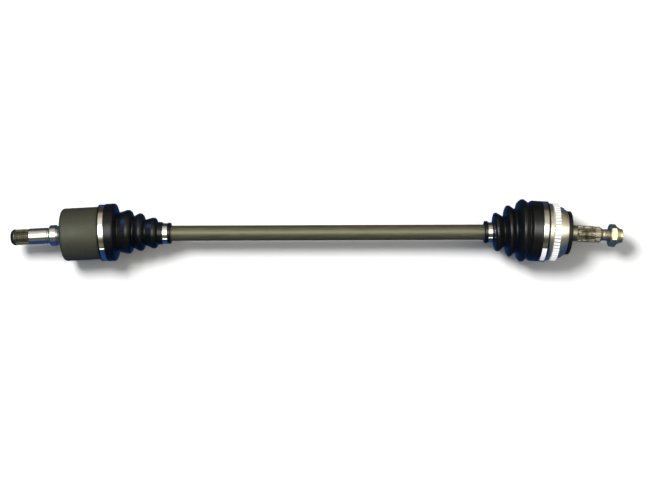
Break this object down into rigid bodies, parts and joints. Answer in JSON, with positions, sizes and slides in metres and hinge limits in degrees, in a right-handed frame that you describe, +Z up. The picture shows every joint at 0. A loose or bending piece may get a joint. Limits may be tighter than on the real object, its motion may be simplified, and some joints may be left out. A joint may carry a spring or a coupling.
{
  "type": "cv axle",
  "caption": "Half-shaft with a booted plunging tripod joint at the gearbox end, a booted ball joint at the wheel end, splined stubs and a hub nut.",
  "frame": {"origin": "on the surface that the axle lies on, under the middle of its box", "axes": "+X along the bar from the gearbox end to the wheel end, +Z up"},
  "size_m": [0.9756, 0.1008, 0.0999],
  "materials": {
    "bar_steel": "dark oiled steel with fine scuffs",
    "forged_steel": "dark phosphated forging, with bright turned bands and splines",
    "ground_steel": "ground and polished bearing steel",
    "spring_steel": "dark spring steel",
    "boot_rubber": "smooth black rubber with a soft sheen",
    "clamp_steel": "bright stainless strip",
    "tone_ring_steel": "bright toothed ring",
    "cap_black": "black pressed steel",
    "nut_zinc": "yellow passivated zinc"
  },
  "bodies": {
    "shaft": {"axle_shaft": "bar_steel", "spider": "ground_steel", "spider_outer_clip": "spring_steel", "spider_inner_clip": "spring_steel", "needle_set_2": "ground_steel", "needle_set_3": "ground_steel", "roller_clip_1": "spring_steel", "roller_clip_2": "spring_steel", "roller_clip_3": "spring_steel", "race_stop_ring": "spring_steel", "race_clip": "spring_steel", "inner_race": "ground_steel", "inner_small_clamp": "clamp_steel", "outer_small_clamp": "clamp_steel"},
    "first_roller": {"roller_1": "ground_steel"},
    "second_roller": {"roller_2": "ground_steel"},
    "third_roller": {"roller_3": "ground_steel"},
    "tripod_yaw": {"needle_set_1": "ground_steel"},
    "tripod_tilt": {"inner_boot": "boot_rubber"},
    "gearbox_end": {"inner_housing": "forged_steel", "inner_stub_clip": "spring_steel", "inner_large_clamp": "clamp_steel"},
    "upper_ball": {"ball_1": "ground_steel"},
    "cage_and_balls": {"cage": "ground_steel", "ball_2": "ground_steel", "ball_3": "ground_steel", "ball_5": "ground_steel", "ball_6": "ground_steel", "outer_boot": "boot_rubber"},
    "lower_ball": {"ball_4": "ground_steel"},
    "wheel_end": {"outer_housing": "forged_steel", "abs_ring": "tone_ring_steel", "dust_cap": "cap_black", "hub_nut": "nut_zinc", "outer_large_clamp": "clamp_steel"}
  },
  "joints": [
    {"name": "first_roller_spin", "type": "hinge", "parent": "shaft", "child": "first_roller", "pos_m": [-0.36207, -0.0021, 0.07597], "axis": [0, 0, 1], "continuous": true},
    {"name": "second_roller_spin", "type": "hinge", "parent": "shaft", "child": "second_roller", "pos_m": [-0.36207, 0.02042, 0.03697], "axis": [0, 0.866, -0.5], "continuous": true},
    {"name": "third_roller_spin", "type": "hinge", "parent": "shaft", "child": "third_roller", "pos_m": [-0.36207, -0.02461, 0.03697], "axis": [0, -0.866, -0.5], "continuous": true},
    {"name": "gearbox_end_yaw", "type": "hinge", "parent": "shaft", "child": "tripod_yaw", "pos_m": [-0.36207, -0.0021, 0.04997], "axis": [0, 0, 1], "range_deg": [-8.8, 3.2], "deforming": ["inner_boot"]},
    {"name": "gearbox_end_tilt", "type": "hinge", "parent": "tripod_yaw", "child": "tripod_tilt", "pos_m": [-0.36207, -0.0021, 0.04997], "axis": [-0.0489, 0.9988, 0], "range_deg": [-16, 16], "deforming": ["inner_boot"]},
    {"name": "gearbox_end_plunge", "type": "slide", "parent": "tripod_tilt", "child": "gearbox_end", "axis": [-0.9988, -0.0489, 0], "range_m": [-0.014, 0.014], "deforming": ["inner_boot"]},
    {"name": "bump_bar_half", "type": "hinge", "parent": "shaft", "child": "upper_ball", "pos_m": [0.37393, -0.0021, 0.04997], "axis": [0, 1, 0], "range_deg": [-7, 7], "deforming": ["outer_boot"]},
    {"name": "steer_bar_half", "type": "hinge", "parent": "upper_ball", "child": "cage_and_balls", "pos_m": [0.37393, -0.0021, 0.04997], "axis": [0, 0, 1], "range_deg": [-17.05, 20.95], "deforming": ["outer_boot"]},
    {"name": "steer_wheel_half", "type": "hinge", "parent": "cage_and_balls", "child": "lower_ball", "pos_m": [0.37393, -0.0021, 0.04997], "axis": [0, 0, 1], "range_deg": [-17.05, 20.95], "deforming": ["outer_boot"]},
    {"name": "bump_wheel_half", "type": "hinge", "parent": "lower_ball", "child": "wheel_end", "pos_m": [0.37393, -0.0021, 0.04997], "axis": [0.061, 0.9981, 0], "range_deg": [-7, 7], "deforming": ["outer_boot"]}
  ],
  "couplings": [
    {"joint": "steer_wheel_half", "follows": "steer_bar_half", "ratio": 1},
    {"joint": "bump_wheel_half", "follows": "bump_bar_half", "ratio": 1}
  ]
}
